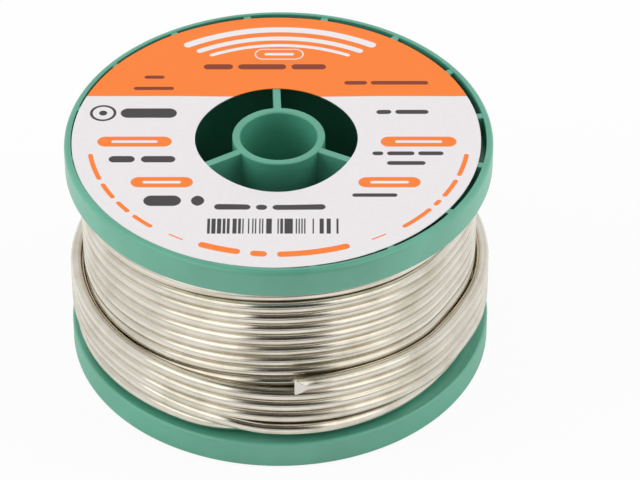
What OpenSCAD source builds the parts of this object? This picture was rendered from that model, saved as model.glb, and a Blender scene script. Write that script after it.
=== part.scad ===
// Reel of solder wire: two moulded half reels pressed together at mid barrel,
// a paper face label, and cored solder wire wound between the flanges.
// Millimetres, +Z up the reel's axis, origin at the middle of the face it stands on.
// Azimuths are counted anticlockwise from the front, which is -Y.

/* [Reel] */
// Outer diameter of both flanges
flange_d = 63; // [60:0.5:66]
// Height over both flanges
reel_h = 37.2; // [36.8:0.1:37.6]
// Height of each flange's edge
flange_h = 4.6; // [4.4:0.1:4.8]
// Thickness of the upright rim round each flange
rim_t = 1; // [0.8:0.05:1.2]
// Thickness of the disc that the winding bears on
disc_t = 1.2; // [1:0.1:1.6]
// Rounding of the rim's outer corners
edge_r = 0.5; // [0.3:0.05:0.6]
// Rounding of the rim's inner corner
lip_r = 0.15; // [0.1:0.05:0.25]

/* [Hub] */
// Outer diameter of the barrel that the wire is wound on
barrel_d = 40; // [36:0.5:42]
// Wall of the barrel
barrel_t = 1.6; // [1.4:0.1:2]
// Bore of the centre tube
bore_d = 11.3; // [10:0.1:14]
// Wall of the centre tube
tube_t = 1.17; // [1:0.01:1.5]
// Number of webs between the centre tube and the barrel
web_count = 3; // [3:1:6]
// Thickness of a web and of a flange rib
web_t = 1.16; // [0.9:0.02:1.4]
// Number of ribs across each flange
rib_count = 16; // [12:1:20]
// Azimuth of the web that lines up with a rib
first_web = -57.9; // [-180:0.1:180]

/* [Joint between the halves] */
// Height of the spigot that enters the upper half
spigot_h = 2.5; // [1.5:0.1:4]
// Clearance round the spigot
spigot_gap = 0.05; // [0.03:0.01:0.1]
// How far the webs stop short of the face where the halves meet
web_relief = 0.1; // [0.05:0.05:0.5]

/* [Label] */
// Outer diameter of the paper label
label_d = 60; // [58:0.1:60]
// Hole in the label over the hub
label_hole_d = 23.9; // [20:0.1:26]
// Thickness of the label and of its seat below the rim
label_t = 0.15; // [0.1:0.01:0.2]
// How far the label was laid off centre, along X and along Y
label_shift = [-0.34, -0.34]; // [-0.34:0.01:0.34]

/* [Wire] */
// Diameter of the solder wire
wire_d = 2; // [1.9:0.02:2]
// Diameter of the flux core inside the wire
flux_d = 0.78; // [0.5:0.01:0.9]
// Clear space kept between neighbouring wound turns
turn_gap = 0.44; // [0.42:0.01:0.6]
// Radius to the middle of the wire in the outermost, part-wound layer
top_layer_r = 30.4; // [29:0.1:30.4]
// Clear space between the lower flange and the last turn of the full layer
end_slack = 0.5; // [0:0.05:0.6]
// Extra space between the first two turns under the upper flange
first_gap = 0.35; // [0:0.05:0.6]
// Turns of the part-wound layer that lie beside each other
loose_turns = 5; // [3:1:6]
// Spacing of the turns in the part-wound layer
loose_pitch = 2.1; // [2.03:0.01:2.3]
// How far the first of them lies above the last turn of the full layer
loose_rise = 0.75; // [0.5:0.05:1]
// Azimuth at which the wire was cut
cut_az = 4.4; // [0:0.1:15]
// Azimuth of the root of the loose end
root_az = 30; // [30:15:60]
// Height of the chisel edge that the side cutters left
chisel_h = 2.85; // [2:0.05:3]

/* [Winding] */
// Rings of the wound tube in each turn
rings = 24; // [24:1:24]
// Sides of the wound tube
sides = 6; // [6:1:6]
// Clockwise angle from the front at which each turn starts to step across
cross_at = -15; // [-20:1:0]
// Angle that a step across takes
cross_span = 75; // [60:1:90]
// Clockwise angle at which the full layer makes its last, quick step
last_at = -25; // [-30:1:-20]
// Angle that the last step takes
last_span = 40; // [35:1:50]
// How far the last turn of the full layer stands proud on the left, outwards and upwards
proud = [1.5, 0.1]; // [0:0.05:1.5]
// Clockwise angle at which that turn has sunk halfway back beside the flange
proud_to = 170; // [120:5:200]
// Clockwise angle at which the wire climbs to the outermost layer
climb_at = 300; // [295:1:305]
// Angle that the climb takes
climb_span = 48; // [45:1:55]

/* [Hidden] */
$fn = 96;

rim_r = flange_d / 2;
rim_in = rim_r - rim_t;
barrel_r = barrel_d / 2;
barrel_in = barrel_r - barrel_t;
bore_r = bore_d / 2;
tube_r = bore_r + tube_t;
disc_z = flange_h - disc_t;
mid_z = reel_h / 2;
spigot_r = barrel_r - barrel_t / 2;
bite = 0.3;               // how far a rib or web runs into the wall that carries it
past = 1;                 // how far a cutter runs beyond the face it cuts
arc_steps = 4;            // straight pieces in a rounded corner of a turned profile

wire_r = wire_d / 2;
turn_r = (wire_d - turn_gap) / 2;
full_layer_r = top_layer_r - wire_d;
winding_w = reel_h - 2 * flange_h;
full_turns = floor((winding_w - end_slack - first_gap) / wire_d);
low_z = flange_h + end_slack + wire_r;
high_z = low_z + (full_turns - 1) * wire_d;
step_a = 360 / rings;
core_gap = 0.05;                                       // between the sleeve and the tube wound over it
core_r = full_layer_r * cos(step_a / 2) - turn_r - core_gap;

start_a = 90;                                          // clockwise from the front
last_turn_a = 360 * (full_turns - 1);
last_a = last_turn_a + last_at;
climb_a = last_turn_a + climb_at;
proud_span = 45;                                       // angle over which that turn comes out or sinks back
end_a = 360 * (full_turns + loose_turns - 1) - root_az;
tail_z = low_z + loose_rise + (loose_turns - 1) * loose_pitch;
chisel_l = 1.9;                                        // length of the pinched wedge
chisel_t = 0.3;                                        // thickness left at its edge
tail_rise = 0.3;                                       // how far the cut end stands off the winding
slice = 0.02;                                          // thin slice used to loft the wedge
tail_fn = 32;                                          // facets round the loose end

green = "#5fa088";
silver = "#c9c3b6";

// ---- moulded halves ----

function corner(c, r, from, to) =
    [for (i = [0:arc_steps]) let (a = from + (to - from) * i / arc_steps) c + r * [cos(a), sin(a)]];

// Half outline from the rim's standing edge, over the flange and up the barrel.
function half_outline(joint) = concat(
    corner([rim_r - edge_r, edge_r], edge_r, -90, 0),
    corner([rim_r - edge_r, flange_h - edge_r], edge_r, 0, 90),
    [[barrel_r, flange_h]],
    joint,
    [[barrel_in, label_t], [barrel_r, label_t], [barrel_r, disc_z], [rim_in, disc_z]],
    corner([rim_in + lip_r, lip_r], lip_r, 180, 270)
);

spigot = [[barrel_r, mid_z], [spigot_r, mid_z], [spigot_r, mid_z + spigot_h], [barrel_in, mid_z + spigot_h]];
socket = [
    [barrel_r, mid_z],
    [spigot_r + spigot_gap, mid_z],
    [spigot_r + spigot_gap, mid_z - spigot_h - spigot_gap],
    [barrel_in, mid_z - spigot_h - spigot_gap]
];

// An upright plate along +X between two radii.
module plate(r0, r1, z0, z1) {
    translate([r0, -web_t / 2, z0]) cube([r1 - r0, web_t, z1 - z0]);
}

module centre_tube() {
    difference() {
        cylinder(r = tube_r, h = mid_z);
        translate([0, 0, -past]) cylinder(r = bore_r, h = mid_z + 2 * past);
    }
}

// A web's full width stops at full_z, so that it clears the other half's spigot above that.
// Its end stops short of the mating face, where only the tubes and the barrels meet.
module webs(full_z) {
    end_z = mid_z - web_relief;
    outline = [
        [tube_r - bite, label_t], [barrel_in + bite, label_t], [barrel_in + bite, full_z],
        [barrel_in - 2 * spigot_gap, full_z], [barrel_in - 2 * spigot_gap, end_z], [tube_r - bite, end_z]
    ];
    for (i = [0:web_count - 1])
        rotate([90, 0, i * 360 / web_count]) linear_extrude(web_t, center = true) polygon(outline);
}

module ribs() {
    for (i = [0:rib_count - 1])
        rotate(i * 360 / rib_count) plate(barrel_r - bite, rim_in + bite, label_t, disc_z + bite);
}

module half_reel(joint, full_z) {
    rotate_extrude() polygon(half_outline(joint));
    ribs();
    centre_tube();
    webs(full_z);
}

module bottom_half() {
    color(green) rotate(first_web - 90) half_reel(spigot, mid_z - 2 * web_relief);
}

// The upper half is the lower one turned over, with a socket in place of the spigot.
module top_half() {
    color(green)
    translate([0, 0, reel_h]) rotate([180, 0, 0])
        rotate(90 - first_web) half_reel(socket, mid_z - spigot_h - 2 * spigot_gap);
}

module face_label() {
    color("#eeebea")
    translate([label_shift.x, label_shift.y, reel_h - label_t]) difference() {
        cylinder(d = label_d, h = label_t);
        translate([0, 0, -past]) cylinder(d = label_hole_d, h = label_t + 2 * past);
    }
}

// ---- wire ----

function ease(t) = let (u = min(1, max(0, t))) u * u * (3 - 2 * u);

// Steps across made so far at clockwise angle a, the one under way counted in part.
function crossed(a) =
    let (
        turn = floor((a - cross_at) / 360),
        steps = turn + ease((a - 360 * turn - cross_at) / cross_span)
    )
    a < last_a ? steps : max(steps, full_turns - 1 + ease((a - last_a) / last_span));

// The full layer comes down to the lower flange, then the loose layer goes back up.
function wire_z(c) = c < full_turns
    ? high_z - wire_d * (c - 1) + first_gap * max(0, 2 - c)
    : low_z + loose_pitch * (c - full_turns);

// Share of the climb to the outermost layer made at clockwise angle a.
function climbed(a) = ease((a - climb_a) / climb_span);

// Share by which the last turn of the full layer stands proud there.
function stands_out(a) =
    ease((a - last_turn_a) / proud_span) - ease((a - last_turn_a - proud_to) / proud_span + 0.5);

function on_circle(r, a, z) = [-r * sin(a), -r * cos(a), z];
function along(a) = [-cos(a), sin(a), 0];
// The wire goes out first and up after, so that it clears the turn beside it.
function wire_point(a) = on_circle(
    full_layer_r + wire_d * climbed(a) + proud[0] * stands_out(a),
    a,
    wire_z(crossed(a)) + loose_rise * pow(climbed(a), 2) + proud[1] * stands_out(a)
);

// Both ends run straight for one tube diameter.
end_run = 2 * turn_r;
centres = concat(
    [wire_point(start_a), wire_point(start_a) + end_run * along(start_a)],
    [for (a = [start_a + step_a:step_a:end_a - step_a]) wire_point(a)],
    [wire_point(end_a) - end_run * along(end_a), wire_point(end_a)]
);
last = len(centres) - 1;

function unit(v) = v / norm(v);
function heading(i) = unit(centres[min(last, i + 1)] - centres[max(0, i - 1)]);
function ring(i) =
    let (
        t = heading(i),
        up = unit([0, 0, 1] - t.z * t),
        out = cross(up, t)
    )
    [for (j = [0:sides - 1]) centres[i] + turn_r * (cos(j * 360 / sides) * out + sin(j * 360 / sides) * up)];

// Least clear space between stretches of the tube that lie more than half a turn apart,
// measured on the rings' centres and halfway between them.
measured = [for (i = [0:last - 1], h = [0, 0.5]) centres[i] * (1 - h) + centres[i + 1] * h];
least_gap = min([for (i = [0:len(measured) - 1]) for (k = [i + rings:min(len(measured) - 1, i + 3 * rings)])
    norm(measured[i] - measured[k])]) - 2 * turn_r;
echo(least_gap_between_turns = least_gap, loops = (end_a - start_a) / 360, rings = last + 1);

module outer_turns() {
    points = [for (i = [0:last]) each ring(i)];
    side_faces = [for (i = [0:last - 1], j = [0:sides - 1])
        let (k = (j + 1) % sides, p = i * sides, q = p + sides)
        each [[p + j, p + k, q + k], [p + j, q + k, q + j]]];
    start_cap = [for (j = [1:sides - 2]) [0, j + 1, j]];
    end_cap = [for (j = [1:sides - 2]) [for (n = [0, j, j + 1]) last * sides + n]];
    color(silver) polyhedron(points = points, faces = concat(side_faces, start_cap, end_cap));
}

// The layers below the full one, as a plain sleeve, with the short rise
// on which the wire comes up from them beside the upper flange.
module inner_layers() {
    rise_l = 3;
    rise_foot = 1;
    color(silver) {
        difference() {
            translate([0, 0, flange_h]) cylinder(r = core_r, h = winding_w);
            translate([0, 0, flange_h - past]) cylinder(r = barrel_r, h = winding_w + 2 * past);
        }
        rotate(-90 - start_a)
            translate([core_r - rise_foot, 0, wire_z(1) - turn_r])
            cube([full_layer_r + turn_r - core_r + rise_foot, rise_l, 2 * turn_r]);
    }
}

// The loose end lies along the outermost layer up to its chisel-cut tip.
wedge_a = chisel_l / top_layer_r * 180 / PI;
tail_a = root_az - cut_az - wedge_a;

module along_tail(r, a0) {
    rotate(root_az - 90 - a0) rotate_extrude(angle = a0)
        translate([top_layer_r, 0]) circle(r = r, $fn = tail_fn);
}

module wire_tail() {
    color(silver) translate([0, 0, tail_z]) {
        difference() {
            along_tail(wire_r, tail_a);
            along_tail(flux_d / 2, tail_a);
        }
        rotate(root_az - 90 - tail_a) hull() {
            translate([top_layer_r, 0, 0]) rotate([90, 0, 0]) cylinder(r = wire_r, h = slice, $fn = tail_fn);
            translate([top_layer_r + tail_rise, -chisel_l, 0])
                cube([chisel_t, slice, chisel_h], center = true);
        }
    }
}

module flux_core() {
    color("#b98a3a") translate([0, 0, tail_z]) along_tail(flux_d / 2, tail_a);
}

bottom_half();
top_half();
face_label();
inner_layers();
outer_turns();
wire_tail();
flux_core();
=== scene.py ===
import bmesh
import bpy
import math
from mathutils import Matrix, Vector, noise


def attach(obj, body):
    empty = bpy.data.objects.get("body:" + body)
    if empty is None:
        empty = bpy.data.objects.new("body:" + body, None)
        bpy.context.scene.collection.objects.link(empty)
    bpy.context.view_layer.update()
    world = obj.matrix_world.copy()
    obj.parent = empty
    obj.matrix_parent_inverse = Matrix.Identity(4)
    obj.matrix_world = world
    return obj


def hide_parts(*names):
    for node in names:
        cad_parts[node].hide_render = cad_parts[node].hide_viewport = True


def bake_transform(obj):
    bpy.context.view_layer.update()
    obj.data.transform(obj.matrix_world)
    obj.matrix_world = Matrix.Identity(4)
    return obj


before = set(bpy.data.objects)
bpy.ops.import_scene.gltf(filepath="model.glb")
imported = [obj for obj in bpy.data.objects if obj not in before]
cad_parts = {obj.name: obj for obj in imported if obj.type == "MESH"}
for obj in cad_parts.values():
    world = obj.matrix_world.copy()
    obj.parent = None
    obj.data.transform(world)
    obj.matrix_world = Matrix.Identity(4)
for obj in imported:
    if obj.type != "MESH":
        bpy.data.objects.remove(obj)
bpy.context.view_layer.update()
mm = 0.001
mergeWithin = 1e-7  # metres
print("frame loaded:", sorted(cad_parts))


def linear(hexColour):
    channels = [int(hexColour[i:i + 2], 16) / 255 for i in (1, 3, 5)]
    return [c / 12.92 if c <= 0.04045 else ((c + 0.055) / 1.055) ** 2.4 for c in channels] + [1]


def addNode(tree, kind, links=None, **settings):
    node = tree.nodes.new(kind)
    for name, value in settings.items():
        setattr(node, name, value)
    for key, value in (links or {}).items():
        if isinstance(value, bpy.types.Node):
            value = value.outputs[0]
        if isinstance(value, bpy.types.NodeSocket):
            tree.links.new(value, node.inputs[key])
        else:
            node.inputs[key].default_value = value
    return node


def newMaterial(name):
    material = bpy.data.materials.new(name)
    material.use_nodes = True
    tree = material.node_tree
    tree.nodes.clear()
    return material, tree


def blendOf(tree, amount, span, low, high):
    # one colour below the span of the amount, the other above it
    ramp = addNode(tree, "ShaderNodeValToRGB", {"Fac": amount})
    for element, position, colour in zip(ramp.color_ramp.elements, span, (low, high)):
        element.position = position
        element.color = linear(colour)
    return ramp


def newObject(name, vertices, faces, edges=()):
    mesh = bpy.data.meshes.new(name)
    mesh.from_pydata(vertices, edges, faces)
    piece = bpy.data.objects.new(name, mesh)
    bpy.context.scene.collection.objects.link(piece)
    return piece


def bakeModifiers(piece):
    # the evaluated result becomes a plain mesh, and the modifiers go
    graph = bpy.context.evaluated_depsgraph_get()
    mesh = bpy.data.meshes.new_from_object(piece.evaluated_get(graph), depsgraph=graph)
    piece.modifiers.clear()
    piece.data = mesh
    return piece


def shapeTree(name, inputs):
    tree = bpy.data.node_groups.new(name, "GeometryNodeTree")
    for label, kind in {"Geometry": "NodeSocketGeometry", **inputs}.items():
        tree.interface.new_socket(name=label, in_out="INPUT", socket_type=kind)
    tree.interface.new_socket(name="Geometry", in_out="OUTPUT", socket_type="NodeSocketGeometry")
    return tree, addNode(tree, "NodeGroupInput").outputs


def runNodes(piece, tree, values):
    modifier = piece.modifiers.new(tree.name, "NODES")
    modifier.node_group = tree
    sockets = {s.name: s.identifier for s in tree.interface.items_tree if s.in_out == "INPUT"}
    for name, value in values.items():
        modifier[sockets[name]] = value
    return bakeModifiers(piece)


def smooth(piece, sharpAngle):
    piece.data.shade_smooth()
    piece.data.set_sharp_from_angle(angle=math.radians(sharpAngle))


def closeUp(piece):
    # merge doubles, then turn every face outwards
    work = bmesh.new()
    work.from_mesh(piece.data)
    bmesh.ops.remove_doubles(work, verts=work.verts, dist=mergeWithin)
    bmesh.ops.recalc_face_normals(work, faces=work.faces)
    work.to_mesh(piece.data)
    work.free()
    return piece


def roundedOutline(corners, steps=5):
    # corners are (x, y, fillet radius) in millimetres
    outline = []
    for i, (x, y, radius) in enumerate(corners):
        here = Vector((x, y))
        if radius == 0:
            outline.append(here)
            continue
        before = (Vector(corners[i - 1][:2]) - here).normalized()
        after = (Vector(corners[(i + 1) % len(corners)][:2]) - here).normalized()
        half = before.angle(after) / 2
        centre = here + (before + after).normalized() * radius / math.sin(half)
        first = here + before * radius / math.tan(half) - centre
        last = here + after * radius / math.tan(half) - centre
        turn = first.angle_signed(last)
        for k in range(steps + 1):
            outline.append(centre + Matrix.Rotation(-turn * k / steps, 2) @ first)
    return outline


def lathe(name, outline, steps):
    vertices = []
    for k in range(steps):
        a = 2 * math.pi * k / steps
        vertices += [(p.x * mm * math.cos(a), p.x * mm * math.sin(a), p.y * mm) for p in outline]
    count = len(outline)
    faces = []
    for k in range(steps):
        here = k * count
        there = (k + 1) % steps * count
        for i in range(count):
            j = (i + 1) % count
            faces.append((here + i, there + i, there + j, here + j))
    return closeUp(newObject(name, vertices, faces))


# a long lens, high in front; place in metres, tilt in degrees up from straight down
camera = {"lens": 210.07, "sensor": 36, "place": (0.00606, -0.43476, 0.37091), "tilt": 50.888}

cameraData = bpy.data.cameras.new("camera")
cameraData.lens = camera["lens"]
cameraData.sensor_width = camera["sensor"]
cameraObject = bpy.data.objects.new("camera", cameraData)
cameraObject.location = camera["place"]
cameraObject.rotation_euler = (math.radians(camera["tilt"]), 0, 0)
bpy.context.scene.collection.objects.link(cameraObject)
bpy.context.scene.camera = cameraObject


# Injection-moulded polystyrene, dyed green: an even colour with a soft satin sheen,
# a faint cloudiness under the surface and a very fine mould grain.
plasticLook = {"colour": "#55A98F", "deeper": "#4D9F84", "cloudMm": 9, "cloudRange": (0.35, 0.65),
               "grainMm": 0.16, "grainDepthMm": 0.006, "grainStrength": 0.5,
               "rollMm": 6, "rollDepthMm": 0.02, "rollStrength": 0.25,
               "roughness": 0.34, "roughSpread": 0.05, "ior": 1.59, "reflection": 0.9}


def greenPolystyrene():
    look = plasticLook
    material, tree = newMaterial("mouldedGreenPolystyrene")
    place = addNode(tree, "ShaderNodeTexCoord").outputs["Object"]
    cloud = addNode(tree, "ShaderNodeTexNoise", {"Vector": place, "Scale": 1 / (look["cloudMm"] * mm),
                                                 "Detail": 3, "Roughness": 0.6})
    colour = blendOf(tree, cloud, look["cloudRange"], look["deeper"], look["colour"])
    sheen = addNode(tree, "ShaderNodeMapRange", {"Value": cloud,
                                                 "To Min": look["roughness"] - look["roughSpread"],
                                                 "To Max": look["roughness"] + look["roughSpread"]})
    grain = addNode(tree, "ShaderNodeTexNoise", {"Vector": place, "Scale": 1 / (look["grainMm"] * mm),
                                                 "Detail": 2})
    roll = addNode(tree, "ShaderNodeTexNoise", {"Vector": place, "Scale": 1 / (look["rollMm"] * mm)})
    broad = addNode(tree, "ShaderNodeBump", {"Height": roll, "Strength": look["rollStrength"],
                                             "Distance": look["rollDepthMm"] * mm})
    fine = addNode(tree, "ShaderNodeBump", {"Height": grain, "Strength": look["grainStrength"],
                                            "Distance": look["grainDepthMm"] * mm, "Normal": broad})
    surface = addNode(tree, "ShaderNodeBsdfPrincipled", {"Base Color": colour, "Roughness": sheen,
                                                         "Normal": fine, "IOR": look["ior"],
                                                         "Specular IOR Level": look["reflection"]})
    addNode(tree, "ShaderNodeOutputMaterial", {"Surface": surface})
    return material


# Tin-silver solder, drawn through a die: a soft warm silver with fine lines along the
# wire, dull patches where it has rubbed and a thin grey film of oxide.
wireLook = {"colour": "#E8E2D6", "dull": "#CBC4B3", "filmRange": (0.12, 0.3),
            "lineMm": 0.28, "lineLengthMm": 40, "lineDepthMm": 0.004, "lineStrength": 0.6,
            "patchMm": 7, "patchRange": (0.3, 0.7), "roughness": 0.15, "duller": 0.1, "brighter": 0.04}


def drawnSolder():
    look = wireLook
    material, tree = newMaterial("drawnSolderWire")
    # x and y go round the wire, z runs along it
    place = addNode(tree, "ShaderNodeAttribute", attribute_name="wireSurface").outputs["Vector"]
    stretch = addNode(tree, "ShaderNodeMapping", {"Vector": place,
                      "Scale": (1, 1, look["lineMm"] / look["lineLengthMm"])})
    lines = addNode(tree, "ShaderNodeTexNoise", {"Vector": stretch, "Scale": 1 / (look["lineMm"] * mm),
                                                 "Detail": 3, "Roughness": 0.65})
    where = addNode(tree, "ShaderNodeTexCoord").outputs["Object"]
    patches = addNode(tree, "ShaderNodeTexNoise", {"Vector": where, "Scale": 1 / (look["patchMm"] * mm),
                                                   "Detail": 4, "Roughness": 0.6})
    film = addNode(tree, "ShaderNodeMath", {0: lines, 1: patches}, operation="MULTIPLY")
    colour = blendOf(tree, film, look["filmRange"], look["dull"], look["colour"])
    rough = addNode(tree, "ShaderNodeMapRange", {"Value": patches, "From Min": look["patchRange"][0],
                                                 "From Max": look["patchRange"][1],
                                                 "To Min": look["roughness"] + look["duller"],
                                                 "To Max": look["roughness"] - look["brighter"]})
    scratch = addNode(tree, "ShaderNodeBump", {"Height": lines, "Strength": look["lineStrength"],
                                               "Distance": look["lineDepthMm"] * mm})
    surface = addNode(tree, "ShaderNodeBsdfPrincipled", {"Base Color": colour, "Metallic": 1.0,
                                                         "Roughness": rough, "Normal": scratch})
    addNode(tree, "ShaderNodeOutputMaterial", {"Surface": surface})
    return material


# The same alloy where side cutters sheared it: brighter, with a smeared, mirror-like face.
cutLook = {"colour": "#DDD8D0", "roughness": 0.16, "roughSpread": 0.14,
           "smearMm": 0.2, "smearDrawn": 0.15, "smearDepthMm": 0.02, "smearStrength": 0.4}


def shearedSolder():
    look = cutLook
    material, tree = newMaterial("shearedSolder")
    place = addNode(tree, "ShaderNodeTexCoord").outputs["Object"]
    stretch = addNode(tree, "ShaderNodeMapping", {"Vector": place, "Scale": (1, 1, look["smearDrawn"])})
    smear = addNode(tree, "ShaderNodeTexNoise", {"Vector": stretch, "Scale": 1 / (look["smearMm"] * mm),
                                                 "Detail": 2})
    rough = addNode(tree, "ShaderNodeMapRange", {"Value": smear, "To Min": look["roughness"],
                                                 "To Max": look["roughness"] + look["roughSpread"]})
    bump = addNode(tree, "ShaderNodeBump", {"Height": smear, "Strength": look["smearStrength"],
                                            "Distance": look["smearDepthMm"] * mm})
    surface = addNode(tree, "ShaderNodeBsdfPrincipled", {"Base Color": linear(look["colour"]),
                                                         "Metallic": 1.0, "Roughness": rough, "Normal": bump})
    addNode(tree, "ShaderNodeOutputMaterial", {"Surface": surface})
    return material


# Rosin flux: an amber resin, glassy where it broke.
resinLook = {"colour": "#C98A34", "dark": "#A5641C", "crackMm": 0.3, "crackDepthMm": 0.03,
             "crackStrength": 0.3, "roughness": 0.2, "ior": 1.54, "clearness": 0.35}


def rosinResin():
    look = resinLook
    material, tree = newMaterial("rosinResin")
    place = addNode(tree, "ShaderNodeTexCoord").outputs["Object"]
    cracks = addNode(tree, "ShaderNodeTexNoise", {"Vector": place, "Scale": 1 / (look["crackMm"] * mm),
                                                  "Detail": 3})
    colour = blendOf(tree, cracks, (0, 1), look["dark"], look["colour"])
    bump = addNode(tree, "ShaderNodeBump", {"Height": cracks, "Strength": look["crackStrength"],
                                            "Distance": look["crackDepthMm"] * mm})
    surface = addNode(tree, "ShaderNodeBsdfPrincipled", {"Base Color": colour, "Normal": bump,
                                                         "Roughness": look["roughness"],
                                                         "IOR": look["ior"],
                                                         "Transmission Weight": look["clearness"]})
    addNode(tree, "ShaderNodeOutputMaterial", {"Surface": surface})
    return material


# Coated label paper with offset print. Sizes are millimetres on the label's face, measured
# from the reel's axis, with y towards the back. Each block of print is a plain form.
labelPrint = {
    "paper": "#F3EFF1", "fibre": "#EBE7E9", "orange": "#FF8229", "brown": "#86300C", "grey": "#3E3A3C",
    "paperRough": 0.5, "inkRough": 0.38, "ior": 1.5,
    "fibreMm": 0.5, "fibreDepthMm": 0.01, "fibreStrength": 0.2,
    "header": 9.7,  # everything behind this line is orange
    "edge": 0.035,  # softness of the print's edge
    "barGap": 0.6,  # between bars of a row, as a share of their height
    # plain bars stand in rows where print would be: left end, y, height, then each bar's length
    "brownRows": [(-11.4, 17.0, 1.3, (4.4, 7.2, 5.2)), (-20.2, 14.4, 0.8, (3.0,)),
                  (-21.7, 11.6, 0.8, (6.0,)), (9.7, 13.0, 0.9, (3.4, 8.6))],
    "greyRows": [(-23.4, 5.5, 2.3, (8.3,)), (-24.7, -5.6, 1.5, (3.8, 5.0)), (-19.3, -15.3, 2.4, (5.4, 1.9)),
                 (14.4, 5.8, 1.0, (2.2, 4.9)), (13.7, -4.2, 0.9, (1.6, 4.0, 3.7)), (15.8, -6.5, 0.9, (5.6,)),
                 (10.7, -14.0, 0.8, (6.5,)), (-9.1, -16.7, 1.3, (5.2, 1.6, 7.6))],
    "orangePills": [(-21.1, -1.4, 10.9, 2.4), (-16.8, -11.0, 9.0, 2.4),  # middle x, y, length, height
                    (20.5, -1.4, 11.1, 2.4), (16.1, -11.0, 9.0, 2.4)],
    "whitePill": (-0.1, 20.2, 7.2, 2.5), "whitePillLine": 0.2,
    "pillBar": (0.62, 0.24),  # bar inside a pill, as shares of its length, height
    # arcs round the axis: radius, width, then the degrees each stretch runs from and to
    "whiteArcs": [(26.5, 1.3, [(57, 123)]), (24.25, 1.0, [(59, 121)]), (22.45, 0.7, [(62, 118)])],
    "orangeArcs": [(27.8, 0.7, [(189, 202), (204, 212), (214, 220), (222, 230)]),
                   (27.4, 1.2, [(246, 259), (262, 267), (270, 292)]),
                   (27.8, 0.7, [(310, 322), (324, 327), (329, 338), (340, 351)]),
                   (27.6, 0.25, [(236, 241), (299, 304)])],
    "wireSign": (-26.0, 5.5, 1.75, 0.42, 0.6),  # cross-section of the wire: x, y, ring, line, core
    # a block of upright bars: middle x, y, width, height, then the thinnest bar and the share left white
    "barBlock": (-0.8, -21.1, 19.0, 3.4), "barModule": 0.2, "barWhite": 0.5,
}


mixFirst, mixSecond, mixResult = 6, 7, 2  # a Mix node's sockets when it mixes colours


def shadeTree(name, inputs, output):
    tree = bpy.data.node_groups.new(name, "ShaderNodeTree")
    for label, kind in inputs.items():
        tree.interface.new_socket(name=label, in_out="INPUT", socket_type=kind)
    tree.interface.new_socket(name=output, in_out="OUTPUT", socket_type="NodeSocketFloat")
    return tree, addNode(tree, "NodeGroupInput").outputs


def pillTree():
    # distance to a bar with round ends, less than zero inside
    sizes = {"Place": "NodeSocketVector", "Centre": "NodeSocketVector",
             "Width": "NodeSocketFloat", "Height": "NodeSocketFloat"}
    tree, given = shadeTree("roundEndedBar", sizes, "Distance")
    offset = addNode(tree, "ShaderNodeVectorMath", {0: given["Place"], 1: given["Centre"]},
                     operation="SUBTRACT")
    parts = addNode(tree, "ShaderNodeSeparateXYZ", {0: offset})
    core = addNode(tree, "ShaderNodeMath", {0: given["Width"], 1: given["Height"]},
                   operation="SUBTRACT")
    halfCore = addNode(tree, "ShaderNodeMath", {0: core, 1: 0.5}, operation="MULTIPLY")
    across = addNode(tree, "ShaderNodeMath", {0: parts.outputs["X"]}, operation="ABSOLUTE")
    beyond = addNode(tree, "ShaderNodeMath", {0: across, 1: halfCore}, operation="SUBTRACT")
    clipped = addNode(tree, "ShaderNodeMath", {0: beyond, 1: 0.0}, operation="MAXIMUM")
    corner = addNode(tree, "ShaderNodeCombineXYZ", {"X": clipped, "Y": parts.outputs["Y"]})
    reach = addNode(tree, "ShaderNodeVectorMath", {0: corner}, operation="LENGTH")
    radius = addNode(tree, "ShaderNodeMath", {0: given["Height"], 1: 0.5}, operation="MULTIPLY")
    distance = addNode(tree, "ShaderNodeMath", {0: reach.outputs["Value"], 1: radius}, operation="SUBTRACT")
    addNode(tree, "NodeGroupOutput", {0: distance})
    return tree


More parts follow.
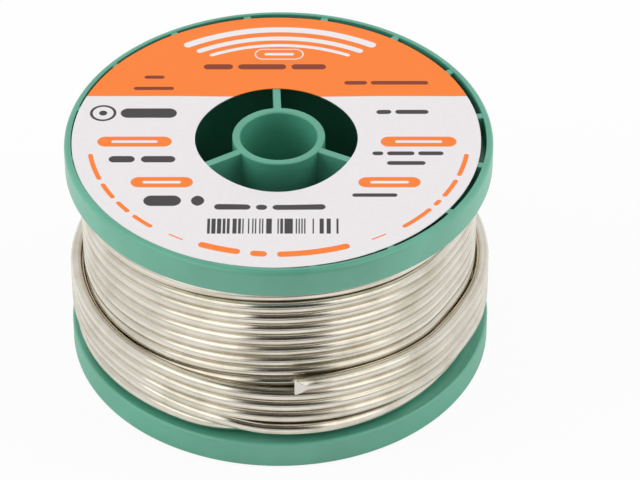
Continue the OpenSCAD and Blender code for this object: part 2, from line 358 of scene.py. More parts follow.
def printedLabel():
    look = labelPrint
    material, tree = newMaterial("printedLabelPaper")
    place = addNode(tree, "ShaderNodeTexCoord").outputs["Object"]
    flat = addNode(tree, "ShaderNodeVectorMath", {0: place, 1: (1, 1, 0)}, operation="MULTIPLY")
    parts = addNode(tree, "ShaderNodeSeparateXYZ", {0: flat})
    radius = addNode(tree, "ShaderNodeVectorMath", {0: flat}, operation="LENGTH").outputs["Value"]
    angle = addNode(tree, "ShaderNodeMath", {0: parts.outputs["Y"], 1: parts.outputs["X"]},
                    operation="ARCTAN2")
    turned = addNode(tree, "ShaderNodeMath", {0: angle, 1: 2 * math.pi}, operation="ADD")
    fullAngle = addNode(tree, "ShaderNodeMath", {0: turned, 1: 2 * math.pi}, operation="MODULO")
    bar = pillTree()

    def barDistance(at, x, y, width, height):
        return addNode(tree, "ShaderNodeGroup", {"Place": at, "Centre": (x * mm, y * mm, 0),
                                                 "Width": width * mm, "Height": height * mm},
                       node_tree=bar)

    def soft(distance):
        # 1 inside, where the distance is below zero, and 0 outside
        return addNode(tree, "ShaderNodeMapRange", {"Value": distance, "From Min": look["edge"] * mm,
                                                    "From Max": -look["edge"] * mm})

    def ringOf(distance, line):
        rim = addNode(tree, "ShaderNodeMath", {0: distance}, operation="ABSOLUTE")
        return addNode(tree, "ShaderNodeMath", {0: rim, 1: line / 2 * mm}, operation="SUBTRACT")

    def rowMasks(left, y, height, lengths):
        masks = []
        for length in lengths:
            masks.append(soft(barDistance(flat, left + length / 2, y, length, height)))
            left += length + look["barGap"] * height
        return masks

    def arcMasks(arcRadius, width, stretches):
        # unrolled, so that x runs along the arc and y across it
        length = addNode(tree, "ShaderNodeMath", {0: fullAngle, 1: arcRadius * mm}, operation="MULTIPLY")
        across = addNode(tree, "ShaderNodeMath", {0: radius, 1: arcRadius * mm}, operation="SUBTRACT")
        unrolled = addNode(tree, "ShaderNodeCombineXYZ", {"X": length, "Y": across})
        return [soft(barDistance(unrolled, math.radians(low + high) / 2 * arcRadius, 0,
                                 math.radians(high - low) * arcRadius, width)) for low, high in stretches]

    def union(masks):
        whole = masks[0]
        for mask in masks[1:]:
            whole = addNode(tree, "ShaderNodeMath", {0: whole, 1: mask}, operation="MAXIMUM")
        return whole

    pills = look["orangePills"] + [look["whitePill"]]
    barLength, barHeight = look["pillBar"]
    orange = [soft(addNode(tree, "ShaderNodeMath", {0: look["header"] * mm, 1: parts.outputs["Y"]},
                           operation="SUBTRACT"))]
    orange += [soft(barDistance(flat, *p)) for p in look["orangePills"]]
    orange += [mask for arc in look["orangeArcs"] for mask in arcMasks(*arc)]
    white = [mask for arc in look["whiteArcs"] for mask in arcMasks(*arc)]
    white.append(soft(ringOf(barDistance(flat, *look["whitePill"]), look["whitePillLine"])))
    white += [soft(barDistance(flat, x, y, barLength * width, barHeight * height))
              for x, y, width, height in pills]
    brown = [mask for row in look["brownRows"] for mask in rowMasks(*row)]
    grey = [mask for row in look["greyRows"] for mask in rowMasks(*row)]
    x, y, ringRadius, ringLine, coreRadius = look["wireSign"]
    grey.append(soft(ringOf(barDistance(flat, x, y, 2 * ringRadius, 2 * ringRadius), ringLine)))
    grey.append(soft(barDistance(flat, x, y, 2 * coreRadius, 2 * coreRadius)))

    # a block of plain upright bars of random width
    x, y, width, height = look["barBlock"]
    cell = addNode(tree, "ShaderNodeMath", {0: parts.outputs["X"], 1: 1 / (look["barModule"] * mm)},
                   operation="MULTIPLY")
    module = addNode(tree, "ShaderNodeMath", {0: cell}, operation="FLOOR")
    chance = addNode(tree, "ShaderNodeTexWhiteNoise", {"W": module}, noise_dimensions="1D")
    dark = addNode(tree, "ShaderNodeMath", {0: chance, 1: look["barWhite"]}, operation="GREATER_THAN")
    beyond = []
    for axis, centre, size in (("X", x, width), ("Y", y, height)):
        off = addNode(tree, "ShaderNodeMath", {0: parts.outputs[axis], 1: centre * mm},
                      operation="SUBTRACT")
        far = addNode(tree, "ShaderNodeMath", {0: off}, operation="ABSOLUTE")
        beyond.append(addNode(tree, "ShaderNodeMath", {0: far, 1: size / 2 * mm}, operation="SUBTRACT"))
    block = soft(addNode(tree, "ShaderNodeMath", {0: beyond[0], 1: beyond[1]}, operation="MAXIMUM"))
    grey.append(addNode(tree, "ShaderNodeMath", {0: block, 1: dark}, operation="MULTIPLY"))

    # paper fibres show a little in the white, and the ink evens them out
    fibre = addNode(tree, "ShaderNodeTexNoise", {"Vector": place, "Scale": 1 / (look["fibreMm"] * mm),
                                                 "Detail": 3})
    bare = addNode(tree, "ShaderNodeMix", {"Factor": fibre, mixFirst: linear(look["paper"]),
                                           mixSecond: linear(look["fibre"])}, data_type="RGBA")
    colour = bare.outputs[mixResult]
    for masks, ink in ((orange, "orange"), (white, "paper"), (brown, "brown"), (grey, "grey")):
        layer = addNode(tree, "ShaderNodeMix", {"Factor": union(masks), mixFirst: colour,
                                                mixSecond: linear(look[ink])}, data_type="RGBA")
        colour = layer.outputs[mixResult]
    rough = addNode(tree, "ShaderNodeMapRange", {"Value": union(orange), "To Min": look["paperRough"],
                                                 "To Max": look["inkRough"]})
    bump = addNode(tree, "ShaderNodeBump", {"Height": fibre, "Strength": look["fibreStrength"],
                                            "Distance": look["fibreDepthMm"] * mm})
    surface = addNode(tree, "ShaderNodeBsdfPrincipled", {"Base Color": colour, "Roughness": rough,
                                                         "Normal": bump, "IOR": look["ior"]})
    addNode(tree, "ShaderNodeOutputMaterial", {"Surface": surface})
    return material


plastic = greenPolystyrene()
solder = drawnSolder()
cutSolder = shearedSolder()
resin = rosinResin()
paper = printedLabel()
print("materials made")


# The reel is moulded in two halves that meet at mid height. Sizes are millimetres, and each half
# is drawn as the lower one, with its outer face at z 0.
reel = {"flange": 31.5, "rim": 1.0, "flangeHeight": 4.6, "disc": 1.2, "height": 37.2,
        "barrel": 20.0, "barrelWall": 1.6, "spigot": 2.5, "spigotGap": 0.05,
        "seat": 0.15,  # ribs, webs and barrel end this far below the rim
        "faceRound": 0.75, "wireSideRound": 0.4, "lipRound": 0.15, "barrelRound": 0.2, "seatRound": 0.12,
        "floorRound": 0.3, "steps": 288, "sharpAngle": 38}
centreTube = {"bore": 5.65, "wall": 1.17, "outerRound": 0.22, "innerRound": 0.3, "steps": 144}
web = {"count": 3, "thickness": 1.16, "azimuth": -57.9, "edge": 0.16,
       "relief": 0.1}  # gap between the webs of the two halves
rib = {"count": 16, "thickness": 1.16, "edge": 0.16,
       "bite": 0.3}  # how far a wall's ends run into what holds it

halfHeight = reel["height"] / 2
barrelInside = reel["barrel"] - reel["barrelWall"]
webStart = web["azimuth"] - 90  # degrees round from +X to the first web and rib


def wallTree():
    # upright walls standing radially round +Z, each with rounded long edges
    tree, given = shapeTree("radialWalls", {
        "Count": "NodeSocketInt", "Inner Radius": "NodeSocketFloat", "Outer Radius": "NodeSocketFloat",
        "Foot": "NodeSocketFloat", "Height": "NodeSocketFloat", "Thickness": "NodeSocketFloat",
        "Edge Radius": "NodeSocketFloat", "Material": "NodeSocketMaterial"})
    near = addNode(tree, "ShaderNodeCombineXYZ", {"X": given["Inner Radius"]})
    far = addNode(tree, "ShaderNodeCombineXYZ", {"X": given["Outer Radius"]})
    line = addNode(tree, "GeometryNodeCurvePrimitiveLine", {"Start": near, "End": far})
    section = addNode(tree, "GeometryNodeCurvePrimitiveQuadrilateral",
                      {"Width": given["Thickness"], "Height": given["Height"]})
    rounded = addNode(tree, "GeometryNodeFilletCurve", {"Curve": section, "Count": 4,
                                                        "Radius": given["Edge Radius"]}, mode="POLY")
    wall = addNode(tree, "GeometryNodeCurveToMesh", {"Curve": line, "Profile Curve": rounded,
                                                     "Fill Caps": True})
    half = addNode(tree, "ShaderNodeMath", {0: given["Height"], 1: 0.5}, operation="MULTIPLY")
    middle = addNode(tree, "ShaderNodeMath", {0: half, 1: given["Foot"]}, operation="ADD")
    lift = addNode(tree, "ShaderNodeCombineXYZ", {"Z": middle})
    raised = addNode(tree, "GeometryNodeTransform", {"Geometry": wall, "Translation": lift})
    points = addNode(tree, "GeometryNodePoints", {"Count": given["Count"]})
    index = addNode(tree, "GeometryNodeInputIndex")
    share = addNode(tree, "ShaderNodeMath", {0: index, 1: given["Count"]}, operation="DIVIDE")
    turn = addNode(tree, "ShaderNodeMath", {0: share, 1: 2 * math.pi}, operation="MULTIPLY")
    rotation = addNode(tree, "ShaderNodeCombineXYZ", {"Z": turn})
    placed = addNode(tree, "GeometryNodeInstanceOnPoints", {"Points": points, "Instance": raised,
                                                            "Rotation": rotation})
    real = addNode(tree, "GeometryNodeRealizeInstances", {"Geometry": placed})
    finished = addNode(tree, "GeometryNodeSetMaterial", {"Geometry": real, "Material": given["Material"]})
    addNode(tree, "NodeGroupOutput", {"Geometry": finished})
    return tree


radialWalls = wallTree()


def radialPiece(name, count, inner, outer, foot, height, thickness, edge):
    piece = newObject(name, [], [])
    runNodes(piece, radialWalls, {"Count": count, "Inner Radius": inner * mm, "Outer Radius": outer * mm,
                                  "Foot": foot * mm, "Height": height * mm, "Thickness": thickness * mm,
                                  "Edge Radius": edge * mm, "Material": plastic})
    return closeUp(piece)


def joinSolids(base, tools):
    for tool in tools:
        union = base.modifiers.new("union", "BOOLEAN")
        union.operation = "UNION"
        union.solver = "MANIFOLD"
        union.object = tool
        bakeModifiers(base)
        bpy.data.objects.remove(tool)
    return base


def reelHalf(name, seam, innerSeam):
    # seam holds the corners that the barrel's outline has where it meets the other half
    rimIn = reel["flange"] - reel["rim"]
    floorZ = reel["flangeHeight"] - reel["disc"]
    tubeOut = centreTube["bore"] + centreTube["wall"]
    shell = roundedOutline([
        (reel["flange"], 0, reel["faceRound"]),
        (reel["flange"], reel["flangeHeight"], reel["wireSideRound"]),
        (reel["barrel"], reel["flangeHeight"], reel["barrelRound"]),
        (reel["barrel"], halfHeight, 0)] + seam + [
        (barrelInside, innerSeam, 0),
        (barrelInside, reel["seat"], reel["seatRound"]),
        (reel["barrel"], reel["seat"], reel["seatRound"]),
        (reel["barrel"], floorZ, reel["floorRound"]),
        (rimIn, floorZ, reel["floorRound"]),
        (rimIn, 0, reel["lipRound"])])
    tube = roundedOutline([
        (tubeOut, 0, centreTube["outerRound"]), (tubeOut, halfHeight, 0),
        (centreTube["bore"], halfHeight, 0), (centreTube["bore"], 0, centreTube["innerRound"])])
    body = lathe(name, shell, reel["steps"])
    body.data.materials.append(plastic)
    ribs = radialPiece("ribs", rib["count"], reel["barrel"] - rib["bite"], rimIn + rib["bite"],
                       reel["seat"], floorZ + rib["bite"] - reel["seat"], rib["thickness"], rib["edge"])
    webTop = min(innerSeam, halfHeight) - web["relief"]
    webs = radialPiece("webs", web["count"], tubeOut - rib["bite"], barrelInside + rib["bite"],
                       reel["seat"], webTop - reel["seat"], web["thickness"], web["edge"])
    joinSolids(body, [ribs, lathe("tube", tube, centreTube["steps"]), webs])
    return body


def finishMoulding(piece, node):
    closeUp(piece)
    smooth(piece, reel["sharpAngle"])
    weighted = piece.modifiers.new("weighted", "WEIGHTED_NORMAL")
    weighted.keep_sharp = True
    bakeModifiers(piece)
    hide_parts(node)
    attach(piece, "reel")


# the lower half ends in a spigot, and the upper half has the socket for it
spigotRadius = reel["barrel"] - reel["barrelWall"] / 2
spigotEnd = halfHeight + reel["spigot"]
socketRadius = spigotRadius + reel["spigotGap"]
socketEnd = halfHeight - reel["spigot"] - reel["spigotGap"]
lowerSeam = [(spigotRadius, halfHeight, 0), (spigotRadius, spigotEnd, 0)]
upperSeam = [(socketRadius, halfHeight, 0), (socketRadius, socketEnd, 0)]
lowerHalf = reelHalf("reelLowerHalf", lowerSeam, spigotEnd)
upperHalf = reelHalf("reelUpperHalf", upperSeam, socketEnd)
lowerHalf.data.transform(Matrix.Rotation(math.radians(webStart), 4, "Z"))
upperHalf.data.transform(Matrix.Translation((0, 0, reel["height"] * mm))
                         @ Matrix.Rotation(math.pi, 4, "X")
                         @ Matrix.Rotation(math.radians(-webStart), 4, "Z"))
finishMoulding(lowerHalf, "bottom_half")
finishMoulding(upperHalf, "top_half")
print("reel halves made:", len(upperHalf.data.polygons), "faces each")


# A paper ring stuck on a little off centre, which sags where no web or rib carries it.
labelSheet = {"radius": 30.0, "hole": 11.95, "thickness": 0.1, "shift": (-0.34, -0.34), "low": 0.05,
              "hubSag": 0.85, "hubSagAt": -87.9, "hubSagHalf": 60,  # between the two front webs
              "otherSag": 0.15, "sagCurve": 1.6, "sagCrown": 1.5,  # between the other webs
              "ribSag": 0.03, "ribSagSpan": 10, "rings": 44, "spokes": 384, "sharpAngle": 40}


def paperSag(x, y):
    # how far the paper hangs below its flat place, in millimetres
    sheet = labelSheet
    r = math.hypot(x, y)
    angle = math.degrees(math.atan2(y, x))
    sag = 0
    if r < barrelInside:
        depth = ((barrelInside - r) / (barrelInside - sheet["hole"])) ** sheet["sagCurve"]
        webStep = 360 / web["count"]
        fromWeb = (angle - webStart) % webStep
        between = math.sin(math.radians(fromWeb * 180 / webStep)) ** sheet["sagCrown"]
        inFront = abs((angle - sheet["hubSagAt"] + 180) % 360 - 180) < sheet["hubSagHalf"]
        sag += depth * between * (sheet["hubSag"] if inFront else sheet["otherSag"])
    if r > reel["barrel"]:
        ribStep = 360 / rib["count"]
        cell = (angle - webStart) % ribStep / ribStep
        sag += sheet["ribSag"] * math.sin(math.pi * cell) ** 2 * (r - reel["barrel"]) / sheet["ribSagSpan"]
    return sag


def faceLabel():
    sheet = labelSheet
    vertices = []
    faces = []
    count = sheet["rings"]
    top = reel["height"] - sheet["low"]
    for side in (0, 1):
        for k in range(sheet["spokes"]):
            a = 2 * math.pi * k / sheet["spokes"]
            for i in range(count):
                r = sheet["hole"] + (sheet["radius"] - sheet["hole"]) * i / (count - 1)
                x = r * math.cos(a) + sheet["shift"][0]
                y = r * math.sin(a) + sheet["shift"][1]
                z = top - side * sheet["thickness"] - paperSag(x, y)
                vertices.append((x * mm, y * mm, z * mm))
    total = sheet["spokes"] * count
    for k in range(sheet["spokes"]):
        here = k * count
        there = (k + 1) % sheet["spokes"] * count
        for i in range(count - 1):
            faces.append((here + i, here + i + 1, there + i + 1, there + i))
            faces.append((total + here + i, total + there + i,
                          total + there + i + 1, total + here + i + 1))
        for i in (0, count - 1):
            faces.append((here + i, there + i, total + there + i, total + here + i))
    piece = closeUp(newObject("paperLabel", vertices, faces))
    piece.data.materials.append(paper)
    smooth(piece, sheet["sharpAngle"])
    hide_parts("face_label")
    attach(piece, "reel")


faceLabel()
print("label made")


# One wire. The full layer winds down to the lower flange, where its last turn stands proud on the
# left. Then the wire climbs on the right, and the outermost layer goes back up with looser turns.
# Angles are degrees clockwise from the front, seen from above, and run on from turn to turn. A
# place of four numbers is a hump: it rises from the first over the second, and falls back from the
# third over the fourth. Sizes are millimetres.
wire = {"diameter": 2.0, "topLayer": 30.4,  # radius of the outermost layer's middle
        "firstZ": 6.1, "fullTurns": 13,
        "firstGap": 0.35, "gapTurns": 2,  # wider spacing of the turns at the top
        "looseHeights": [0.62, 3.1, 5.2, 7.25, 9.35],  # of the outermost layer, above firstZ
        "crossAt": -20, "crossSpan": 105,  # where a turn steps over to the next
        "lastAt": -25, "lastSpan": 35,  # the full layer's last step comes early
        "climb": [(0.25, 262, 35), (0.75, 305, 50)],  # to the outermost layer: share, from, over
        "proud": (1.5, 0.1), "proudAt": (-2, 27, 160, 60),  # outwards and upwards
        "lift": 0.52, "liftAt": (3, 14, 50, 35),  # of the turn that lies over the proud one
        "waves": [(0.45, (281, 16, 297, 16)), (-0.2, (303, 10, 318, 22))],  # in every turn, at the right
        "flatter": (0.35, (281, 16, 297, 16)),  # taken off the climbing turn's first wave
        "bow": 0.5, "bowAt": (-40, 55, 75, 60),  # upwards at the front left
        "bowUntil": 3800, "bowFade": 360,  # the last full turns lie flat
        "sag": 0.17, "sagAt": (15, 50, 85, 70),  # downwards, once more for each loose turn
        "riseAt": 40, "riseSpan": 50, "startAfter": 8,  # the wire comes up from the layer beneath
        "sides": 20, "stepDeg": 3, "sharpAngle": 60,
        "slack": 0.05, "wanderMm": 15, "wanderSeeds": (3.1, 17.7, 41.9)}
# The free end stands off the turns and was cut to a hollow-ground chisel by side cutters. Azimuths
# are degrees to the right of the front.
looseEnd = {"cutAzimuth": 4.4, "rootAzimuth": 30, "partAzimuth": 38, "stand": 0.3, "standOver": 9,
            "wedge": 1.9, "tipThick": 0.24, "tipAbove": 1.3, "tipBelow": 1.65, "tipOut": 0.4, "hollow": 1.6,
            "cutFrom": 0.02, "cutFaceTilt": 0.35,  # which faces have the sheared finish
            "plainSteps": 16, "wedgeSteps": 10, "sides": 32, "sharpAngle": 16,
            "core": 0.78, "coreSides": 16, "bendMm": 2.5}

lastTurnStart = 360 * (wire["fullTurns"] - 1)  # of the full layer


def ease(t):
    u = min(1, max(0, t))
    return u * u * (3 - 2 * u)


def stepsAcross(a):
    # steps made so far at angle a, the one under way in part
    turn = math.floor((a - wire["crossAt"]) / 360)
    steps = turn + ease((a - 360 * turn - wire["crossAt"]) / wire["crossSpan"])
    early = wire["fullTurns"] - 1 + ease((a - lastTurnStart - wire["lastAt"]) / wire["lastSpan"])
    return max(steps, early) if a > lastTurnStart + wire["lastAt"] else steps


def hump(a, start, rise, back, fall):
    # 0 before start, 1 from start + rise to back, 0 again after back + fall
    return ease((a - start) / rise) - ease((a - back) / fall)


def withinTurn(a):
    # the angle within one turn, from -180 to 180
    return (a + 180) % 360 - 180


def turnHeight(turns):
    if turns < wire["fullTurns"]:
        height = wire["firstZ"] + wire["diameter"] * (wire["fullTurns"] - turns)
        return height + wire["firstGap"] * max(0, wire["gapTurns"] - turns)
    loose = turns - wire["fullTurns"]
    heights = wire["looseHeights"]
    low = min(int(loose), len(heights) - 2)
    return wire["firstZ"] - heights[0] + heights[low] + (heights[low + 1] - heights[low]) * (loose - low)


def wirePoint(a):
    # the wire's middle, in millimetres
    inLast = a - lastTurnStart
    climbed = sum(share * ease((inLast - start) / span) for share, start, span in wire["climb"])
    proud = hump(inLast, *wire["proudAt"])
    r = wire["topLayer"] - wire["diameter"] + wire["diameter"] * climbed + wire["proud"][0] * proud
    r -= wire["diameter"] * (1 - ease((a - wire["riseAt"]) / wire["riseSpan"]))
    turns = stepsAcross(a)
    z = turnHeight(turns) + wire["looseHeights"][0] * climbed ** 2 + wire["proud"][1] * proud
    z += wire["lift"] * hump(inLast - 360, *wire["liftAt"])
    z += sum(height * hump(a % 360, *place) for height, place in wire["waves"])
    z -= wire["flatter"][0] * hump(inLast, *wire["flatter"][1])
    z -= wire["sag"] * max(0, turns - wire["fullTurns"]) * hump(withinTurn(a), *wire["sagAt"])
    bowLeft = 1 - ease((a - wire["bowUntil"]) / wire["bowFade"])
    z += wire["bow"] * hump(withinTurn(a), *wire["bowAt"]) * bowLeft
    t = math.radians(a)
    point = Vector((-r * math.sin(t), -r * math.cos(t), z))
    place = point / wire["wanderMm"]  # the wire strays from its path a little, by fixed noise
    wander = Vector([noise.noise(place + Vector.Fill(3, seed)) for seed in wire["wanderSeeds"]])
    return point + wander * wire["slack"]


lastTurn = lastTurnStart + 360 * len(wire["looseHeights"])
partAngle = lastTurn - looseEnd["partAzimuth"]


def tubeTree():
    # a tube along a line of edges, with its surface place kept for the drawn lines
    tree, given = shapeTree("wireTube", {"Wire Diameter": "NodeSocketFloat", "Sides": "NodeSocketInt",
                                         "Material": "NodeSocketMaterial"})
    curve = addNode(tree, "GeometryNodeMeshToCurve", {"Mesh": given["Geometry"]})
    upright = addNode(tree, "GeometryNodeSetCurveNormal", {"Curve": curve}, mode="Z_UP")
    radius = addNode(tree, "ShaderNodeMath", {0: given["Wire Diameter"], 1: 0.5}, operation="MULTIPLY")
    section = addNode(tree, "GeometryNodeCurvePrimitiveCircle", {"Resolution": given["Sides"],
                                                                 "Radius": radius})
    length = addNode(tree, "GeometryNodeSplineParameter").outputs["Length"]
    keptLength = addNode(tree, "GeometryNodeCaptureAttribute")
    keptLength.capture_items.new("FLOAT", "Length")
    tree.links.new(upright.outputs[0], keptLength.inputs["Geometry"])
    tree.links.new(length, keptLength.inputs["Length"])
    sectionPlace = addNode(tree, "GeometryNodeInputPosition").outputs[0]
    keptPlace = addNode(tree, "GeometryNodeCaptureAttribute")
    keptPlace.capture_items.new("VECTOR", "Place")
    tree.links.new(section.outputs[0], keptPlace.inputs["Geometry"])
    tree.links.new(sectionPlace, keptPlace.inputs["Place"])
    tube = addNode(tree, "GeometryNodeCurveToMesh", {"Curve": keptLength.outputs["Geometry"],
                   "Profile Curve": keptPlace.outputs["Geometry"], "Fill Caps": True})
    along = addNode(tree, "ShaderNodeCombineXYZ", {"Z": keptLength.outputs["Length"]})
    surface = addNode(tree, "ShaderNodeVectorMath", {0: keptPlace.outputs["Place"], 1: along},
                      operation="ADD")
    stored = addNode(tree, "GeometryNodeStoreNamedAttribute", {"Geometry": tube, "Name": "wireSurface"},
                     data_type="FLOAT_VECTOR", domain="POINT")
    tree.links.new(surface.outputs[0], stored.inputs["Value"])
    real = addNode(tree, "GeometryNodeRealizeInstances", {"Geometry": stored})
    finished = addNode(tree, "GeometryNodeSetMaterial", {"Geometry": real, "Material": given["Material"]})
    addNode(tree, "NodeGroupOutput", {"Geometry": finished})
    return tree


wireTube = tubeTree()


def tubeAlong(name, angles, diameter, sides, material):
    points = [wirePoint(a) * mm for a in angles]
    piece = newObject(name, points, [], [(i, i + 1) for i in range(len(points) - 1)])
    runNodes(piece, wireTube, {"Wire Diameter": diameter * mm, "Sides": sides, "Material": material})
    smooth(piece, wire["sharpAngle"])
    return piece


firstAngle = wire["riseAt"] + wire["startAfter"]
stretches = round((partAngle - firstAngle) / wire["stepDeg"])
windingAngles = [firstAngle + (partAngle - firstAngle) * i / stretches for i in range(stretches + 1)]
woundWire = tubeAlong("woundWire", windingAngles, wire["diameter"], wire["sides"], solder)
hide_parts("outer_turns")
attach(woundWire, "reel")

# the layer beneath shows only in the gaps, as a sleeve of rings
beneath = {"radius": 27.35, "steps": 120, "perRing": 7, "sharpAngle": 50}


def layerBeneath():
    top = reel["height"] - reel["flangeHeight"]
    wireR = wire["diameter"] / 2
    core = beneath["radius"] - wireR
    outline = [Vector((reel["barrel"], top)), Vector((reel["barrel"], reel["flangeHeight"]))]
    for turn in range(wire["fullTurns"]):
        z = wire["firstZ"] + turn * wire["diameter"]
        for k in range(beneath["perRing"]):
            t = math.pi * (k / beneath["perRing"] - 0.5)
            outline.append(Vector((core + wireR * math.cos(t), z + wireR * math.sin(t))))
    outline.append(Vector((core, top)))
    piece = lathe("wireBeneath", outline, beneath["steps"])
    piece.data.materials.append(solder)
    smooth(piece, beneath["sharpAngle"])
    surface = piece.data.attributes.new("wireSurface", "FLOAT_VECTOR", "POINT")
    for i, v in enumerate(piece.data.vertices):
        ringAngle = math.atan2(v.co.y, v.co.x)
        surface.data[i].vector = (v.co.z, v.co.xy.length, ringAngle * beneath["radius"] * mm)
    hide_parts("inner_layers")
    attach(piece, "reel")


layerBeneath()
print("winding made:", len(woundWire.data.polygons), "faces")


def alongEnd():
    # the rest of the wire's path, with its distance from the tip, in millimetres
    tipAngle = lastTurn - looseEnd["cutAzimuth"]
    degPerMm = 180 / math.pi / wire["topLayer"]
    wedgeAngle = tipAngle - looseEnd["wedge"] * degPerMm
    plain = looseEnd["plainSteps"]
    fine = looseEnd["wedgeSteps"]
    angles = [partAngle + (wedgeAngle - partAngle) * i / plain for i in range(plain)]
    angles += [wedgeAngle + (tipAngle - wedgeAngle) * i / fine for i in range(fine + 1)]
    return [(a, (tipAngle - a) / degPerMm) for a in angles]


def looseWireEnd():
    end = looseEnd
    sides = end["sides"]
    wireR = wire["diameter"] / 2
    path = alongEnd()
    vertices = []
    surface = []
    for a, fromTip in path:
        t = math.radians(a)
        out = Vector((-math.sin(t), -math.cos(t), 0))
        stand = end["stand"] * ease(1 - fromTip / end["standOver"])
        middle = wirePoint(a) + out * stand
        share = max(0, 1 - fromTip / end["wedge"])  # 0 where the wedge starts, 1 at the tip
        middle += out * end["tipOut"] * share
        halfThick = wireR - (wireR - end["tipThick"] / 2) * share ** end["hollow"]
        above = wireR + (end["tipAbove"] - wireR) * share ** 2
        below = wireR + (end["tipBelow"] - wireR) * share
        for k in range(sides):
            outShare = math.cos(2 * math.pi * k / sides)
            upShare = math.sin(2 * math.pi * k / sides)
            outward = max(-halfThick, min(halfThick, wireR * outShare))
            upward = upShare * (above if upShare > 0 else below)
            vertices.append((middle + out * outward + Vector((0, 0, upward))) * mm)
            surface.append((wireR * outShare * mm, wireR * upShare * mm, -fromTip * mm))
    rings = len(path)
    faces = [tuple(range(sides)), tuple((rings - 1) * sides + k for k in reversed(range(sides)))]
    for i in range(rings - 1):
        for k in range(sides):
            j = (k + 1) % sides
            faces.append((i * sides + k, (i + 1) * sides + k, (i + 1) * sides + j, i * sides + j))
    piece = newObject("looseWireEnd", vertices, faces)
    attribute = piece.data.attributes.new("wireSurface", "FLOAT_VECTOR", "POINT")
    for i, value in enumerate(surface):
        attribute.data[i].vector = value
    piece.data.materials.append(solder)
    piece.data.materials.append(cutSolder)
    closeUp(piece)
    wedgeStart = wirePoint(path[end["plainSteps"]][0])
    direction = (wirePoint(path[-1][0]) - wedgeStart).normalized()
    for face in piece.data.polygons:
        past = (face.center / mm - wedgeStart).dot(direction)
        upright = abs(face.normal.z) < end["cutFaceTilt"]
        face.material_index = 1 if past > end["cutFrom"] and upright else 0
    smooth(piece, end["sharpAngle"])
    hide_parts("wire_tail")
    return piece


looseWire = looseWireEnd()
# the flux runs as far as the wedge, where the cutter closed the wire over it
coreAngles = [a for a, fromTip in alongEnd()][:looseEnd["plainSteps"] + 1]
fluxThread = tubeAlong("fluxThread", coreAngles, looseEnd["core"], looseEnd["coreSides"], resin)
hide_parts("flux_core")
rootAngle = lastTurn - looseEnd["rootAzimuth"]
root = wirePoint(rootAngle)
ahead = (wirePoint(rootAngle + 1) - root).normalized() * looseEnd["bendMm"]
for piece in (looseWire, fluxThread):
    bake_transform(piece)
print("loose end made")


# A soft white room: four lamps that no reflection shows, and sheets of painted reflection that only
# reflections show: dark ones paint shade and bright ones paint highlights on the wire.
studio = {
    "ambient": 0.42, "mirrorRoom": 0.635,  # what lights the reel, and what mirrors see
    "floor": "#F4F3F1", "floorSize": 6.0, "floorDropMm": 0.05,
    "floorGlow": 0.92, "mirrorFloor": 0.745,  # shares of white that eyes and mirrors see
    "shade": (0.03, 0.045),  # mirrors see the floor's white past this radius
    # place, watts, width and height of each soft box, all aimed at the reel
    "boxes": {"left": ((-0.72, -0.1, 0.35), 3.8, 0.6, 0.6),
              "right": ((0.66, 0.0, 0.32), 2.8, 0.6, 0.6),
              "front": ((0.0, -0.39, 0.68), 0.35, 0.6, 0.5),
              "overhead": ((0.0, 0.3, 0.75), 1.0, 0.9, 0.45)},
    "aim": (0, 0, 0.02),
}
# Sheets of painted reflection, seen only in reflections, dark ones for painted shade and bright ones for
# painted
# highlights: middle, half width and half height as vectors, width of the soft edge, colour and strength.
paintedReflectionSheets = {
    # painted shade: dark sheets paint dark bands into the reflections of the wire at the front, and a dim one
    # paints the floor in front darker in them
    "paintedShadeCeiling": ((0.01, -0.17, 0.6), (0.2, 0, 0), (0, 0.3, 0), 0.08, "#38332C", 0.9),
    "paintedShadeWall": ((0.045, -0.44, 0.33), (0.225, 0, 0), (0, 0, 0.28), 0.08, "#38332C", 0.9),
    "paintedShadeFloor": ((0.05, -0.26, 0.0005), (0.16, 0, 0), (0, 0.2, 0), 0.08, "#7A756C", 1.0),
    # painted highlights: bright glowing sheets, no lamps, that paint the cream highlights on the wire's turns
    "paintedHighlightLeft": ((-0.466, -0.45, 0.49), (-0.25, 0.28, 0.13), (0.12, 0.11, 0.25), 0.1, "#FFFDF8", 1.44),
    "paintedHighlightRight": ((0.475, -0.43, 0.47), (0.21, 0.23, 0), (-0.16, 0.15, 0.3), 0.1, "#FFFDF8", 1.3),
}


def whiteBackdrop(tree, surface, eyeShare, mirrorShare):
    # eyes and mirrors see these shares of plain white; everything else sees the real surface
    ray = addNode(tree, "ShaderNodeLightPath").outputs
    mirrorRay = addNode(tree, "ShaderNodeMath", {0: ray["Is Glossy Ray"], 1: ray["Is Transmission Ray"]},
                        operation="MAXIMUM")
    inMirror = addNode(tree, "ShaderNodeMath", {0: mirrorRay, 1: mirrorShare}, operation="MULTIPLY")
    seen = addNode(tree, "ShaderNodeMath", {0: ray["Is Camera Ray"], 1: eyeShare}, operation="MULTIPLY")
    share = addNode(tree, "ShaderNodeMath", {0: seen, 1: inMirror}, operation="MAXIMUM")
    return addNode(tree, "ShaderNodeMixShader", {"Fac": share, 1: surface})


def makeWorld():
    world = bpy.data.worlds.new("softRoom")
    bpy.context.scene.world = world
    world.use_nodes = True
    tree = world.node_tree
    tree.nodes.clear()
    dim = addNode(tree, "ShaderNodeBackground", {"Color": (1, 1, 1, 1), "Strength": studio["ambient"]})
    mix = whiteBackdrop(tree, dim, 1.0, studio["mirrorRoom"])
    white = addNode(tree, "ShaderNodeBackground", {"Color": (1, 1, 1, 1), "Strength": 1.0})
    tree.links.new(white.outputs[0], mix.inputs[2])
    addNode(tree, "ShaderNodeOutputWorld", {"Surface": mix})


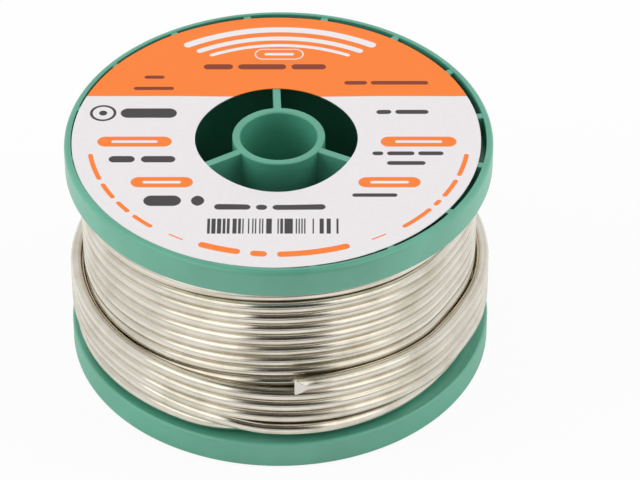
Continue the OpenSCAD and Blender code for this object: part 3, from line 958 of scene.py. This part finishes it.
def makeFloor():
    material, tree = newMaterial("whitePaperSweep")
    matt = addNode(tree, "ShaderNodeBsdfDiffuse", {"Color": linear(studio["floor"])})
    place = addNode(tree, "ShaderNodeTexCoord").outputs["Object"]
    fromAxis = addNode(tree, "ShaderNodeVectorMath", {0: place}, operation="LENGTH").outputs["Value"]
    shadeStart, shadeEnd = studio["shade"]
    outside = addNode(tree, "ShaderNodeMapRange", {"Value": fromAxis, "From Min": shadeStart,
                                                   "From Max": shadeEnd, "To Max": studio["mirrorFloor"]},
                      interpolation_type="SMOOTHSTEP")
    mix = whiteBackdrop(tree, matt, studio["floorGlow"], outside)
    glow = addNode(tree, "ShaderNodeEmission", {"Color": (1, 1, 1, 1), "Strength": 1.0})
    tree.links.new(glow.outputs[0], mix.inputs[2])
    addNode(tree, "ShaderNodeOutputMaterial", {"Surface": mix})
    half = studio["floorSize"] / 2
    z = -studio["floorDropMm"] * mm
    floor = newObject("floor", [(-half, -half, z), (half, -half, z), (half, half, z), (-half, half, z)],
                      [(0, 1, 2, 3)])
    floor.data.materials.append(material)


def softBox(name, place, watts, width, height):
    light = bpy.data.lights.new(name, "AREA")
    light.shape = "RECTANGLE"
    light.size = width
    light.size_y = height
    light.energy = watts
    lamp = bpy.data.objects.new(name, light)
    lamp.visible_glossy = False
    lamp.location = place
    lamp.rotation_euler = (Vector(place) - Vector(studio["aim"])).to_track_quat("Z", "Y").to_euler()
    bpy.context.scene.collection.objects.link(lamp)


def paintedReflectionSheet(name, middle, across, up, edge, colour, strength):
    material, tree = newMaterial(name)
    # sheetPlace is measured from the sheet's middle
    place = addNode(tree, "ShaderNodeAttribute", attribute_name="sheetPlace").outputs["Vector"]
    parts = addNode(tree, "ShaderNodeSeparateXYZ", {0: place})
    halfX = Vector(across).length
    halfY = Vector(up).length
    masks = []
    for axis, half in (("X", halfX), ("Y", halfY)):
        off = addNode(tree, "ShaderNodeMath", {0: parts.outputs[axis]}, operation="ABSOLUTE")
        masks.append(addNode(tree, "ShaderNodeMapRange", {"Value": off, "From Min": half,
                                                          "From Max": half - edge},
                             interpolation_type="SMOOTHSTEP"))
    within = addNode(tree, "ShaderNodeMath", {0: masks[0], 1: masks[1]}, operation="MULTIPLY")
    # the sheet's glow is painted reflection: painted shade where it is dark, painted highlight where it is
    # bright
    glow = addNode(tree, "ShaderNodeEmission", {"Color": linear(colour), "Strength": strength})
    clear = addNode(tree, "ShaderNodeBsdfTransparent")
    surface = addNode(tree, "ShaderNodeMixShader", {"Fac": within, 1: clear, 2: glow})
    addNode(tree, "ShaderNodeOutputMaterial", {"Surface": surface})
    corners = [(-1, -1), (1, -1), (1, 1), (-1, 1)]
    sheet = newObject(name, [Vector(middle) + x * Vector(across) + y * Vector(up) for x, y in corners],
                      [(0, 1, 2, 3)])
    attribute = sheet.data.attributes.new("sheetPlace", "FLOAT_VECTOR", "POINT")
    for i, (x, y) in enumerate(corners):
        attribute.data[i].vector = (x * halfX, y * halfY, 0)
    sheet.data.materials.append(material)
    sheet.visible_camera = False
    sheet.visible_diffuse = False
    sheet.visible_shadow = False
    sheet.visible_transmission = False


makeWorld()
makeFloor()
for name, settings in paintedReflectionSheets.items():
    paintedReflectionSheet(name, *settings)
for name, (place, watts, width, height) in studio["boxes"].items():
    softBox(name, place, watts, width, height)
bpy.context.scene.view_settings.view_transform = "Standard"

print("studio set")
